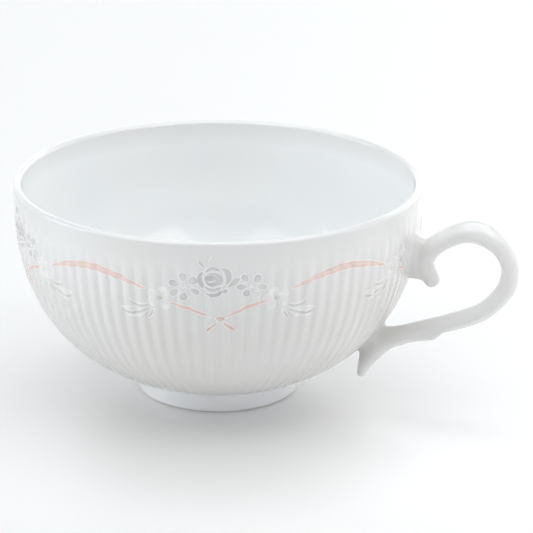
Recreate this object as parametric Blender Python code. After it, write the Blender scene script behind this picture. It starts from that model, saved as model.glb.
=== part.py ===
"""Porcelain teacup: reeded bowl, turned foot, scroll handle and printed transfers.

Units are metres and +Z is up. The cup stands on z = 0, and the origin is at the middle of its box, so
the bowl's axis lies a little towards -X and the handle reaches towards +X.
"""

import math

import bmesh
import bpy
from mathutils import Vector

MM = 0.001

# Driving dimensions
RIM_RADIUS = 50.0 * MM
HEIGHT = 54.0 * MM
HANDLE_REACH = 75.2 * MM          # from the bowl's axis to the outside of the handle
FOOT_RADIUS = 20.2 * MM
FOOT_HEIGHT = 4.2 * MM
GAP = 0.3 * MM                    # clearance between separate solids
BOWL_X = (RIM_RADIUS - HANDLE_REACH) / 2

# Bowl wall: a superellipse, steep below the rim and flat towards the foot
WALL_POWER = 2.76
WALL_LOWEST = 1.1 * MM            # height at which the wall's curve would close on the axis
INNER_POWER = 3.0
FLOOR_HEIGHT = 5.0 * MM
LIP_RADIUS = 1.0 * MM
UNDERSIDE_HEIGHT = 3.0 * MM
UNDERSIDE_RADIUS = 16.6 * MM

# Reeding: rounded vertical ribs on the outer wall
RIB_COUNT = 95
RIB_DEPTH = 0.35 * MM
RIB_TOP = 50.0 * MM
RIB_FULL_TOP = 46.0 * MM
RIB_FULL_BOTTOM = 9.0 * MM

# Foot ring
FOOT_SEGMENTS = 72
FOOT_INNER_RADIUS = 17.2 * MM
FOOT_EDGE = 0.7 * MM              # rounding beside the standing face
SLIP_THICKNESS = 0.4 * MM

# Handle: centre line in the handle's plane (distance from the bowl's axis, height, radius)
HANDLE_LINE = (
    (54.4, 33.4, 1.9), (52.6, 37.6, 2.6), (54.4, 41.8, 2.9), (58.8, 44.9, 2.6), (63.2, 46.5, 2.8),
    (67.6, 45.8, 2.9), (71.2, 43.0, 2.5), (73.1, 38.7, 2.1), (72.8, 34.0, 2.1), (70.4, 30.0, 2.3),
    (65.9, 26.3, 2.3), (59.4, 23.2, 2.3), (51.5, 20.2, 2.4), (45.6, 17.4, 2.7), (41.2, 13.2, 2.3),
    (38.4, 9.2, 1.5), (37.2, 7.2, 0.9),
)
HANDLE_SIDE = 1.25                # the handle's breadth over its thickness
HANDLE_STEPS = 3                  # sections per span of the centre line
HANDLE_SIDES = 12
DOME = [(0.6, 0.8), (0.94, 0.35)]  # rings of a domed end: (distance beyond it, size) in radii
UPPER_PAD = ((51.5, 34.6, 2.6), (49.6, 38.5, 3.3), (50.4, 43.2, 2.7))
LOWER_PAD = ((44.6, 18.2, 2.0), (42.4, 16.4, 2.6), (38.5, 14.2, 2.0))
BARB = ((59.4, 22.6, 1.6), (56.8, 21.0, 1.7), (55.0, 19.4, 1.1))

# Transfers: printed pieces on the wall
TRANSFER_THICKNESS = 0.25 * MM
TRANSFER_RADIUS = 49.6 * MM       # where distances along the wall are measured
TRANSFER_CUT = 3.0 * MM           # widest stretch of a transfer left flat
REPEATS = 5
FIRST_BEARING = -72.0             # degrees from the handle
REPEAT_ANGLE = 360.0 / REPEATS

# Colours
PORCELAIN = (0.83, 0.83, 0.82)
FOOT_WHITE = (0.82, 0.84, 0.86)
SLIP_WHITE = (0.78, 0.77, 0.75)
TRANSFER_GREY = (0.52, 0.52, 0.53)
TRANSFER_WHITE = (0.88, 0.88, 0.87)
TRANSFER_LEAF = (0.60, 0.61, 0.57)
TRANSFER_PINK = (0.80, 0.56, 0.54)


def clear_scene():
    for item in list(bpy.data.objects):
        bpy.data.objects.remove(item, do_unlink=True)


def material(name, colour, roughness):
    made = bpy.data.materials.new(name)
    made.use_nodes = True
    shader = made.node_tree.nodes["Principled BSDF"]
    shader.inputs["Base Color"].default_value = (*colour, 1.0)
    shader.inputs["Roughness"].default_value = roughness
    shader.inputs["Metallic"].default_value = 0.0
    return made


def add_object(name, bm, finish):
    """Turns a bmesh into a smooth-shaded object with one material."""
    bmesh.ops.recalc_face_normals(bm, faces=bm.faces)
    mesh = bpy.data.meshes.new(name)
    bm.to_mesh(mesh)
    bm.free()
    mesh.materials.append(finish)
    mesh.shade_smooth()
    mesh.set_sharp_from_angle(angle=math.radians(50))
    made = bpy.data.objects.new(name, mesh)
    bpy.context.collection.objects.link(made)
    return made


def as_cutter(made):
    made.hide_render = True
    made.display_type = "WIRE"
    return made


def add_boolean(target, operation, other):
    cut = target.modifiers.new(operation.lower(), "BOOLEAN")
    cut.operation = operation
    cut.solver = "EXACT"
    cut.object = other


# Profiles of the bowl


def wall_radius(height):
    """Radius of the outer wall over the ribs' crests."""
    depth = min(max((HEIGHT - height) / (HEIGHT - WALL_LOWEST), 0.0), 1.0)
    return RIM_RADIUS * math.sqrt(1.0 - depth ** WALL_POWER)


def wall_height(radius):
    """Height of the outer wall at a radius, the inverse of wall_radius."""
    depth = (1.0 - (radius / RIM_RADIUS) ** 2) ** (1.0 / WALL_POWER)
    return HEIGHT - (HEIGHT - WALL_LOWEST) * depth


def inner_height(radius):
    """Height of the inside surface at a radius."""
    reach = radius / (RIM_RADIUS - 2 * LIP_RADIUS)
    depth = (1.0 - reach ** 2) ** (1.0 / INNER_POWER)
    top = HEIGHT - LIP_RADIUS
    return top - (top - FLOOR_HEIGHT) * depth


def rib_strength(height):
    """1 where the ribs have their full depth, 0 where the wall is smooth."""
    if height >= RIB_FULL_TOP:
        return max((RIB_TOP - height) / (RIB_TOP - RIB_FULL_TOP), 0.0)
    start = wall_height(FOOT_RADIUS + GAP)
    return min(max((height - start) / (RIB_FULL_BOTTOM - start), 0.0), 1.0)


def ring(bm, radius, height, count, groove=0.0):
    """A ring of vertices round the bowl's axis; every second one is set back by groove."""
    verts = []
    for step in range(count):
        angle = 2 * math.pi * step / count
        reach = radius - (groove if step % 2 == 0 else 0.0)
        verts.append(bm.verts.new((BOWL_X + reach * math.cos(angle), reach * math.sin(angle), height)))
    return verts


def join_rings(bm, first, second):
    """Faces between two rings, which may differ by a factor of 2 in their number of vertices."""
    if len(first) == len(second):
        count = len(first)
        for step in range(count):
            after = (step + 1) % count
            bm.faces.new((first[step], first[after], second[after], second[step]))
        return
    many, few = (first, second) if len(first) > len(second) else (second, first)
    for step in range(len(few)):
        left, middle = many[2 * step], many[2 * step + 1]
        right = many[(2 * step + 2) % len(many)]
        after = few[(step + 1) % len(few)]
        bm.faces.new((left, middle, few[step]))
        bm.faces.new((middle, after, few[step]))
        bm.faces.new((middle, right, after))


def turned(bm, rings, closed):
    for first, second in zip(rings, rings[1:]):
        join_rings(bm, first, second)
    if closed:
        join_rings(bm, rings[-1], rings[0])
    else:
        bm.faces.new(rings[0])
        bm.faces.new(rings[-1])


def build_bowl(finish):
    bm = bmesh.new()
    full = 2 * RIB_COUNT
    rings = [ring(bm, UNDERSIDE_RADIUS, UNDERSIDE_HEIGHT, RIB_COUNT)]
    rings.append(ring(bm, FOOT_RADIUS, wall_height(FOOT_RADIUS), full))
    for turn in range(64, 9, -6):
        height = wall_height(RIM_RADIUS * math.cos(math.radians(turn)))
        rings.append(ring(bm, wall_radius(height), height, full, RIB_DEPTH * rib_strength(height)))
    for height in (RIB_FULL_TOP, RIB_TOP):
        rings.append(ring(bm, wall_radius(height), height, full, RIB_DEPTH * rib_strength(height)))
    lip_centre = HEIGHT - LIP_RADIUS
    for turn in (0, 45, 90, 135):
        reach = RIM_RADIUS - LIP_RADIUS + LIP_RADIUS * math.cos(math.radians(turn))
        height = lip_centre + LIP_RADIUS * math.sin(math.radians(turn))
        rings.append(ring(bm, reach, height, full if turn < 90 else RIB_COUNT))
    for turn in (0, 8, 14, 20, 28, 36, 44, 52, 60, 68, 77):
        radius = (RIM_RADIUS - 2 * LIP_RADIUS) * math.cos(math.radians(turn))
        rings.append(ring(bm, radius, inner_height(radius), RIB_COUNT))
    turned(bm, rings, closed=False)
    return add_object("bowl", bm, finish)


def shell_height(radius, clearance):
    """Height of a surface that runs below the bowl's underside and wall, clear of both."""
    if radius <= FOOT_RADIUS:
        run = (radius - UNDERSIDE_RADIUS) / (FOOT_RADIUS - UNDERSIDE_RADIUS)
        top = UNDERSIDE_HEIGHT + max(run, 0.0) * (wall_height(FOOT_RADIUS) - UNDERSIDE_HEIGHT)
    else:
        top = wall_height(radius)
    return top - clearance


def build_foot(finish):
    seat = 2 * GAP + SLIP_THICKNESS
    outline = [
        (FOOT_INNER_RADIUS, shell_height(FOOT_INNER_RADIUS, seat)),
        (FOOT_RADIUS, shell_height(FOOT_RADIUS, seat)),
        (FOOT_RADIUS - 0.1 * MM, FOOT_HEIGHT / 2),
        (FOOT_RADIUS - 0.2 * MM, FOOT_EDGE),
        (FOOT_RADIUS - 0.5 * MM, 0.2 * MM),
        (FOOT_RADIUS - FOOT_EDGE - 0.2 * MM, 0.0),
        (FOOT_INNER_RADIUS + FOOT_EDGE, 0.0),
        (FOOT_INNER_RADIUS + 0.2 * MM, 0.3 * MM),
        (FOOT_INNER_RADIUS, FOOT_EDGE + 0.3 * MM),
    ]
    bm = bmesh.new()
    rings = [ring(bm, radius, height, FOOT_SEGMENTS) for radius, height in outline]
    turned(bm, rings, closed=True)
    return add_object("foot_ring", bm, finish)


def build_foot_slip(finish):
    inner = FOOT_INNER_RADIUS + 0.3 * MM
    outer = FOOT_RADIUS - 0.3 * MM
    outline = [
        (inner, shell_height(inner, GAP)),
        (inner, shell_height(inner, GAP + SLIP_THICKNESS)),
        (outer, shell_height(outer, GAP + SLIP_THICKNESS)),
        (outer, shell_height(outer, GAP)),
    ]
    bm = bmesh.new()
    rings = [ring(bm, radius, height, FOOT_SEGMENTS) for radius, height in outline]
    turned(bm, rings, closed=True)
    return add_object("foot_slip", bm, finish)


# Handle


def smooth_point(points, index, step, steps):
    """A point of the Catmull-Rom curve through points, step/steps of the way past index."""
    before = Vector(points[max(index - 1, 0)])
    start = Vector(points[index])
    end = Vector(points[index + 1])
    after = Vector(points[min(index + 2, len(points) - 1)])
    t = step / steps
    return 0.5 * ((2 * start) + (end - before) * t
                  + (2 * before - 5 * start + 4 * end - after) * t * t
                  + (3 * start - before - 3 * end + after) * t * t * t)


def swept(bm, line, steps, sides, breadth):
    """A closed round sweep in the handle's plane, with domed ends."""
    stations = []
    for index in range(len(line) - 1):
        for step in range(steps):
            stations.append(smooth_point(line, index, step, steps))
    stations.append(Vector(line[-1]))
    sections = []
    last = len(stations) - 1
    for index, station in enumerate(stations):
        ahead = stations[min(index + 1, last)] - stations[max(index - 1, 0)]
        along = Vector((ahead.x, 0.0, ahead.y)).normalized()
        across = Vector((0.0, 1.0, 0.0))
        normal = across.cross(along)
        centre = Vector((station.x, 0.0, station.y))
        places = [(0.0, 1.0)]
        if index == 0:
            places = [(-shift, size) for shift, size in reversed(DOME)] + places
        elif index == last:
            places += DOME
        for shift, size in places:
            section = []
            for side in range(sides):
                angle = 2 * math.pi * side / sides
                offset = normal * math.cos(angle) + across * breadth * math.sin(angle)
                place = centre + along * station.z * shift + offset * station.z * size
                section.append(bm.verts.new((BOWL_X + place.x * MM, place.y * MM, place.z * MM)))
            sections.append(section)
    turned(bm, sections, closed=False)


def wall_cutter(name, clearance):
    """A solid of the bowl's outer shape, swollen by clearance, for trimming what meets the wall."""
    bm = bmesh.new()
    rings = []
    for height in (8.0, 12.0, 16.0, 20.0, 24.0, 29.0, 34.0, 40.0, 46.0, 51.0):
        rings.append(ring(bm, wall_radius(height * MM) + clearance, height * MM, RIB_COUNT))
    turned(bm, rings, closed=False)
    return as_cutter(add_object(name, bm, bpy.data.materials["slip"]))


def sweep_object(name, line, breadth, finish):
    bm = bmesh.new()
    swept(bm, line, HANDLE_STEPS, HANDLE_SIDES, breadth)
    return add_object(name, bm, finish)


def build_handle(handle_finish, slip_finish):
    """The handle, and the slip between each of its ends and the wall."""
    near = wall_cutter("wall_near", GAP)
    middle = wall_cutter("wall_middle", GAP + SLIP_THICKNESS)
    far = wall_cutter("wall_far", 2 * GAP + SLIP_THICKNESS)
    handle = sweep_object("handle", HANDLE_LINE, HANDLE_SIDE, handle_finish)
    barb = as_cutter(sweep_object("barb_shape", BARB, HANDLE_SIDE, handle_finish))
    add_boolean(handle, "UNION", barb)
    for place, line in (("upper", UPPER_PAD), ("lower", LOWER_PAD)):
        pad = as_cutter(sweep_object("pad_" + place, line, HANDLE_SIDE, handle_finish))
        add_boolean(handle, "UNION", pad)
        slip = sweep_object("handle_slip_" + place, line, 0.9 * HANDLE_SIDE, slip_finish)
        add_boolean(slip, "INTERSECT", middle)
        add_boolean(slip, "DIFFERENCE", near)
    add_boolean(handle, "DIFFERENCE", far)


# Transfers. An outline is a list of (distance along the wall, height) in millimetres, both from a
# centre on the wall.


def lobed_outline(radius, lobes, lobe_depth, steps, stretch=1.0):
    """A flower's outline."""
    points = []
    for step in range(steps):
        angle = 2 * math.pi * step / steps
        reach = radius * (1 + lobe_depth * math.cos(lobes * angle))
        points.append((reach * math.cos(angle), reach * math.sin(angle) * stretch))
    return points


def band_outline(line):
    """A ribbon's or a leaf's outline from its centre line: (distance, height, half width)."""
    upper = []
    lower = []
    for index, (along, height, half) in enumerate(line):
        before = line[max(index - 1, 0)]
        after = line[min(index + 1, len(line) - 1)]
        run = Vector((after[0] - before[0], after[1] - before[1])).normalized()
        upper.append((along - run.y * half, height + run.x * half))
        lower.append((along + run.y * half, height - run.x * half))
    return lower + upper[::-1]


def bow_outline():
    """The bow: two rising strands, a knot and two hanging tails."""
    right_half = [
        (0.0, -1.2), (0.5, -0.9), (2.1, -3.4), (3.2, -3.2), (1.5, -0.5), (1.8, 0.1), (4.8, 1.4),
        (9.3, 3.4), (9.5, 4.0), (4.6, 2.5), (1.2, 0.9), (0.0, 0.7),
    ]
    left_half = [(-along, height) for along, height in right_half[-2:0:-1]]
    return right_half + left_half


def swag_outline():
    """The arch between two sprays, thickest in the middle."""
    half_span = 13.4
    line = []
    for step in range(9):
        share = step / 4 - 1
        half = 0.2 + 0.68 * (1 - share * share)
        line.append((share * half_span, 3.3 * (1 - share * share), half))
    return band_outline(line)


def leaf_outline(side):
    """The sprig that hangs outwards below a blossom; side is +1 to the right, -1 to the left."""
    line = [(0.0, 0.2, 0.3), (1.8, -0.9, 0.95), (3.8, -1.7, 1.1), (5.8, -1.9, 0.85), (7.2, -1.0, 0.3)]
    return band_outline([(side * along, height, half) for along, height, half in line])


def build_transfer(name, outline, angle, height, finish):
    """Lays an outline on the bowl's wall and gives it thickness outwards."""
    bm = bmesh.new()
    bm.faces.new([bm.verts.new((along * MM, rise * MM, 0.0)) for along, rise in outline])
    widest = max(abs(along) for along, rise in outline) * MM
    cuts = int(widest / TRANSFER_CUT)
    for cut in range(-cuts, cuts + 1):
        everything = bm.verts[:] + bm.edges[:] + bm.faces[:]
        bmesh.ops.bisect_plane(bm, geom=everything, dist=1e-6,
                               plane_co=(cut * TRANSFER_CUT, 0, 0), plane_no=(1, 0, 0))
    bmesh.ops.triangulate(bm, faces=bm.faces)
    bearing = math.radians(angle)
    for vert in bm.verts:
        turn = bearing + vert.co.x / TRANSFER_RADIUS
        level = height * MM + vert.co.y
        radius = wall_radius(level) + GAP
        vert.co = (BOWL_X + radius * math.cos(turn), radius * math.sin(turn), level)
    mesh_centre = Vector((BOWL_X, 0.0, height * MM))
    first = bm.faces[:][0]
    if first.normal.dot(first.calc_center_median() - mesh_centre) < 0:
        bmesh.ops.reverse_faces(bm, faces=bm.faces)
    mesh = bpy.data.meshes.new(name)
    bm.to_mesh(mesh)
    bm.free()
    mesh.materials.append(finish)
    made = bpy.data.objects.new(name, mesh)
    bpy.context.collection.objects.link(made)
    body = made.modifiers.new("thickness", "SOLIDIFY")
    body.thickness = TRANSFER_THICKNESS
    body.offset = 1.0
    return made


def build_spray(number, bearing, finishes):
    """One repeat of the print. The last one lies under the handle and is trimmed to clear it."""
    under_handle = number == REPEATS
    flower_turn = 10.4 if under_handle else 8.9
    flower_radius = 2.1 if under_handle else 2.75
    flower = lobed_outline(flower_radius, 6, 0.12, 24)
    blossom = lobed_outline(2.0, 5, 0.1, 20)
    for side, word in ((-1, "left"), (1, "right")):
        tag = word + "_" + str(number)
        build_transfer("flower_" + tag, flower, bearing + side * flower_turn, 43.2, finishes["grey"])
        build_transfer("blossom_" + tag, blossom, bearing + side * 16.2, 40.0, finishes["white"])
        build_transfer("leaf_" + tag, leaf_outline(side), bearing + side * 18.6, 37.6, finishes["leaf"])
    if under_handle:
        for side, word in ((-1, "left"), (1, "right")):
            end = band_outline([(-1.0, -0.2 * side, 0.45), (0.0, 0.0, 0.4), (1.0, 0.2 * side, 0.3)])
            build_transfer("ribbon_end_" + word + "_" + str(number), end, bearing + side * 10.0, 38.8,
                           finishes["pink"])
    else:
        rose = lobed_outline(3.9, 7, 0.05, 28, stretch=0.95)
        build_transfer("rose_" + str(number), rose, bearing, 44.7, finishes["grey"])
        build_transfer("ribbon_bow_" + str(number), bow_outline(), bearing, 35.2, finishes["pink"])
    build_transfer("swag_" + str(number), swag_outline(), bearing + REPEAT_ANGLE / 2, 41.8,
                   finishes["pink"])


def main():
    clear_scene()
    porcelain = material("porcelain", PORCELAIN, 0.12)
    foot_glaze = material("foot_glaze", FOOT_WHITE, 0.15)
    slip = material("slip", SLIP_WHITE, 0.6)
    finishes = {
        "grey": material("transfer_grey", TRANSFER_GREY, 0.25),
        "white": material("transfer_white", TRANSFER_WHITE, 0.25),
        "leaf": material("transfer_leaf", TRANSFER_LEAF, 0.25),
        "pink": material("transfer_pink", TRANSFER_PINK, 0.25),
    }
    build_bowl(porcelain)
    build_foot(foot_glaze)
    build_foot_slip(slip)
    build_handle(porcelain, slip)
    for number in range(1, REPEATS + 1):
        build_spray(number, FIRST_BEARING - (number - 1) * REPEAT_ANGLE, finishes)


main()
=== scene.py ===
"""Looks of the porcelain teacup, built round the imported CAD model. Metres, +Z up.

The bowl, foot and handle are made again as fine surfaces of the CAD's own size, and the printed
decoration is modelled stroke by stroke on the reeded wall.
"""

import itertools
import math

import bpy
import numpy as np
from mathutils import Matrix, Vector


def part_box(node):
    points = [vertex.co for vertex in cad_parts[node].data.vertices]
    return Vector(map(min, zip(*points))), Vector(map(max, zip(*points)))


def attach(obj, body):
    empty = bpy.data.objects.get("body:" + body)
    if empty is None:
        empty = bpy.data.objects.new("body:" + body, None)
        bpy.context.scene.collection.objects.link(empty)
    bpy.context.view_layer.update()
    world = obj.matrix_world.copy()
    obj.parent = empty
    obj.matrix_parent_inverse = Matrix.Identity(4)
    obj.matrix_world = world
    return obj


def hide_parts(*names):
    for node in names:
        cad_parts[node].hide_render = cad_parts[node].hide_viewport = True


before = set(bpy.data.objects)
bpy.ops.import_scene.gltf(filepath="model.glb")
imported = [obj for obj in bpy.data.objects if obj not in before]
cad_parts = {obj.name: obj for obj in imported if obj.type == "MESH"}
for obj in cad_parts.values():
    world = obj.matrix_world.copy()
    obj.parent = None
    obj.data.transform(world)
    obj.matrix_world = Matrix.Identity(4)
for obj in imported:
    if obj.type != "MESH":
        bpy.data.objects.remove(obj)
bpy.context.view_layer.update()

MM = 0.001
SHARP_ANGLE = math.radians(50.0)  # edges sharper than this aren't shaded smooth

# Sizes read from the frame
BOWL_LOW, BOWL_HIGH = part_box("bowl")
FOOT_LOW, FOOT_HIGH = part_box("foot_ring")
AXIS_X = (BOWL_LOW.x + BOWL_HIGH.x) / 2
RIM_RADIUS = (BOWL_HIGH.x - BOWL_LOW.x) / 2
HEIGHT = BOWL_HIGH.z
FOOT_RADIUS = (FOOT_HIGH.x - FOOT_LOW.x) / 2

# The bowl's wall, as in the CAD. The powers set how full its curves are
WALL_POWER = 2.76
WALL_LOWEST = 1.1 * MM            # where the outside's curve would close on the axis
INNER_POWER = 3.0
FLOOR_HEIGHT = 5.0 * MM
LIP_RADIUS = 1.0 * MM
UNDERSIDE_HEIGHT = 3.0 * MM
UNDERSIDE_RADIUS = 16.6 * MM

# Reeding: full depth between two heights, and fading to nothing above and below
RIB_COUNT = 95
RIB_DEPTH = 0.32 * MM
RIB_SOFTNESS = 0.42               # 0 gives sharp grooves, and 1 nearly an even wave
RIB_TOP = 52.0 * MM
RIB_FULL_TOP = 41.0 * MM
RIB_FULL_BOTTOM = 19.0 * MM
POINTS_PER_RIB = 10

# Factors on the glaze's colour.
# Inside the cup it is whiter and cooler, to stand for the light that comes through the thin wall
INSIDE_TINT = (1.10, 1.115, 1.13)
INSIDE_FADE = 5.0 * MM            # full from this far below the rim

# Low on the outside it is darker and warmer: painted shade
WALL_PAINTED_SHADE = (0.89, 0.878, 0.862)
TINT_TOP = 48.0 * MM              # none above this height
TINT_FADE = 22.0 * MM             # and full this far below it
TINT_BOTTOM = 5.0 * MM            # none below this height
TINT_RISE = 7.0 * MM              # and full this far above it

# On the lip's edge it is a little darker: painted shade
LIP_PAINTED_SHADE = (0.93, 0.935, 0.945)
LIP_PAINTED_SHADE_START = HEIGHT - 1.7 * MM
LIP_PAINTED_SHADE_RISE = 1.1 * MM

# The handle loses this share of the wall's painted shade by this distance from the wall
HANDLE_SHADE_LOSS = 0.75
HANDLE_SHADE_REACH = 9.0 * MM

# Foot ring
FOOT_INNER_RADIUS = 17.2 * MM
FOOT_EDGE = 0.75 * MM             # radius of the outer standing edge
FOOT_INNER_EDGE = 0.5 * MM
FOOT_FLARE = 1.1 * MM             # radius of the curve up into the bowl
RECESS_CORNER = 0.7 * MM
DRY_HEIGHT = 0.35 * MM            # below this the foot is wiped free of glaze
DRY_FADE = 0.15 * MM              # width of the glaze's edge
DRY_WANDER = 0.12 * MM            # how far that edge wanders up and down

# Glaze: (warm, cool) colours that drift into each other. The foot's are lighter than the bowl's: painted
# light
PORCELAIN_COLOURS = ((0.805, 0.80, 0.785), (0.795, 0.80, 0.795))
FOOT_COLOURS_WITH_PAINTED_LIGHT = ((0.93, 0.935, 0.95), (0.92, 0.935, 0.955))
BISQUE_COLOUR = (0.86, 0.85, 0.83)
BISQUE_ROUGHNESS = 0.75
GLAZE_ROUGHNESS = 0.08
GLAZE_IOR = 1.5
COAT_WEIGHT = 0.35
COAT_ROUGHNESS = 0.03
DRIFT_SCALE = 38.0
GLOSS_SCALE = 420.0
RIPPLE_SCALE = 160.0
RIPPLE_STRENGTH = 0.05
RIPPLE_HEIGHT = 0.4 * MM
DRY_EDGE_SCALE = 900.0

# Print
CLOUD_SCALE = 700.0
GRAIN_SCALE = 5200.0
REPEATS = 5
REPEAT_ANGLE = 2 * math.pi / REPEATS
FIRST_BEARING = -REPEAT_ANGLE     # puts the last spray under the handle
PRINT_RADIUS = 49.6 * MM          # where distances along the wall are measured

# Camera, placed round the bowl's axis
CAMERA_TURN = math.radians(18.0)
CAMERA_DISTANCE = 560.0 * MM
CAMERA_HEIGHT = 230.7 * MM
CAMERA_PITCH = math.radians(19.658)
CAMERA_LENS = 162.28
CAMERA_SHIFT = 0.0904
CAMERA_NEAR = 10.0 * MM


# Mesh helpers


def add_mesh(name, verts, faces, material, colours=None):
    """A smooth-shaded object from lists of vertices and faces."""
    mesh = bpy.data.meshes.new(name)
    mesh.from_pydata([tuple(v) for v in verts], [], [tuple(int(i) for i in f) for f in faces])
    mesh.validate()
    layer = mesh.color_attributes.new("tint", "FLOAT_COLOR", "POINT")
    rgba = np.ones((len(verts), 4), np.float32)
    if colours is not None:
        rgba[:, :3] = colours
    layer.data.foreach_set("color", rgba.ravel())
    mesh.materials.append(material)
    mesh.shade_smooth()
    mesh.set_sharp_from_angle(angle=SHARP_ANGLE)
    made = bpy.data.objects.new(name, mesh)
    bpy.context.scene.collection.objects.link(made)
    return made


def ring_of(count, radius, height, groove=None):
    """A ring round the bowl's axis. groove gives how far each point is set back."""
    angle = np.arange(count) * 2 * np.pi / count
    reach = radius - (groove(angle) if groove else 0.0)
    return np.column_stack((AXIS_X + reach * np.cos(angle), reach * np.sin(angle),
                            np.full(count, height)))


def revolve(name, rings, material, cap_ends=True, colours=None):
    """Joins rings, whose numbers of points may differ by a whole factor, into one closed surface."""
    verts = np.vstack(rings)
    starts = np.cumsum([0] + [len(r) for r in rings[:-1]])
    faces = []
    for (first, a), (second, b) in zip(zip(rings, starts), list(zip(rings, starts))[1:]):
        faces += bridge(len(first), a, len(second), b)
    if cap_ends:
        faces.append(list(starts[0] + np.arange(len(rings[0])))[::-1])
        faces.append(list(starts[-1] + np.arange(len(rings[-1]))))
    else:
        faces += bridge(len(rings[-1]), starts[-1], len(rings[0]), starts[0])
    return add_mesh(name, verts, faces, material, colours)


def bridge(count_a, start_a, count_b, start_b):
    """Faces between two rings; where one has more points, each coarse edge takes a fan of them."""
    if count_a == count_b:
        here = np.arange(count_a)
        after = (here + 1) % count_a
        return list(np.column_stack((start_a + here, start_a + after, start_b + after, start_b + here)))
    faces = []
    if count_a > count_b:
        share = count_a // count_b
        for step in range(count_b):
            fan = [start_a + (step * share + i) % count_a for i in range(share + 1)]
            faces.append(fan + [start_b + (step + 1) % count_b, start_b + step])
    else:
        share = count_b // count_a
        for step in range(count_a):
            fan = [start_b + (step * share + i) % count_b for i in range(share + 1)]
            faces.append([start_a + step, start_a + (step + 1) % count_a] + fan[::-1])
    return faces


# The wall


def wall_radius(height):
    """The outside's radius at a height, on the ribs' crests."""
    depth = np.clip((HEIGHT - height) / (HEIGHT - WALL_LOWEST), 0.0, 1.0)
    return RIM_RADIUS * np.sqrt(1.0 - depth ** WALL_POWER)


def wall_height(radius):
    """The outside's height at a radius."""
    depth = (1.0 - (radius / RIM_RADIUS) ** 2) ** (1.0 / WALL_POWER)
    return HEIGHT - (HEIGHT - WALL_LOWEST) * depth


def inner_height(radius):
    """The inside's height at a radius."""
    reach = radius / (RIM_RADIUS - 2 * LIP_RADIUS)
    depth = (1.0 - reach ** 2) ** (1.0 / INNER_POWER)
    top = HEIGHT - LIP_RADIUS
    return top - (top - FLOOR_HEIGHT) * depth


def smooth_step(share):
    """0 to 1 with a soft start and end; held beyond them."""
    share = np.clip(share, 0.0, 1.0)
    return share * share * (3 - 2 * share)


def rib_strength(height):
    """1 at full depth, 0 where the wall is smooth. Ribs get shallower as they run closer together."""
    start = wall_height(FOOT_RADIUS)
    upper = smooth_step((RIB_TOP - height) / (RIB_TOP - RIB_FULL_TOP))
    lower = smooth_step((height - start) / (RIB_FULL_BOTTOM - start))
    return upper * lower * wall_radius(height) / RIM_RADIUS


def painted_wall_shade(height):
    """Painted shade: the factor on the glaze's colour at each of these heights on the outside."""
    upper = smooth_step((TINT_TOP - height) / TINT_FADE)
    lower = smooth_step((height - TINT_BOTTOM) / TINT_RISE)
    return 1.0 + (upper * lower)[..., None] * (np.array(WALL_PAINTED_SHADE) - 1.0)


def painted_lip_shade(height):
    """Painted shade on the lip: the factor on the glaze's colour at each of these heights."""
    share = smooth_step((height - LIP_PAINTED_SHADE_START) / LIP_PAINTED_SHADE_RISE)
    return 1.0 + share[..., None] * (np.array(LIP_PAINTED_SHADE) - 1.0)


def groove_share(angle):
    """0 on a rib's crest and 1 in the groove between two ribs."""
    wave = np.cos(RIB_COUNT * angle / 2 + np.pi / 2)
    crest = np.sqrt(wave ** 2 + RIB_SOFTNESS ** 2)
    low, high = RIB_SOFTNESS, math.sqrt(1 + RIB_SOFTNESS ** 2)
    return (high - crest) / (high - low)


def ribbed_radius(angle, height):
    """The outside's radius with its ribs."""
    return wall_radius(height) - RIB_DEPTH * rib_strength(height) * groove_share(angle)


# Materials


def new_material(name):
    """A material, its nodes and its links."""
    made = bpy.data.materials.new(name)
    made.use_nodes = True
    return made, made.node_tree.nodes, made.node_tree.links


def noise(nodes, links, scale, detail):
    """A noise texture in object space."""
    place = nodes.new("ShaderNodeTexCoord")
    texture = nodes.new("ShaderNodeTexNoise")
    texture.inputs["Scale"].default_value = scale
    texture.inputs["Detail"].default_value = detail
    links.new(place.outputs["Object"], texture.inputs["Vector"])
    return texture.outputs["Fac"]


def blend_colours(nodes, links, factor, first, second):
    """first where factor is 0 and second where it is 1. Each is a colour or another node's output."""
    mix = nodes.new("ShaderNodeMix")
    mix.data_type = "RGBA"
    links.new(factor, mix.inputs[0])
    for socket, value in ((mix.inputs[6], first), (mix.inputs[7], second)):
        if isinstance(value, bpy.types.NodeSocket):
            links.new(value, socket)
        else:
            socket.default_value = (*value, 1.0)
    return mix.outputs[2]


def multiply_colours(nodes, links, first, second):
    """The product of two other nodes' outputs."""
    mix = nodes.new("ShaderNodeMix")
    mix.data_type = "RGBA"
    mix.blend_type = "MULTIPLY"
    mix.inputs[0].default_value = 1.0
    links.new(first, mix.inputs[6])
    links.new(second, mix.inputs[7])
    return mix.outputs[2]


def ramp(nodes, links, source, low, high, start=0.0, end=1.0):
    """Maps source from low..high to start..end."""
    node = nodes.new("ShaderNodeMapRange")
    node.inputs["From Min"].default_value = low
    node.inputs["From Max"].default_value = high
    node.inputs["To Min"].default_value = start
    node.inputs["To Max"].default_value = end
    links.new(source, node.inputs["Value"])
    return node.outputs["Result"]


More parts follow.
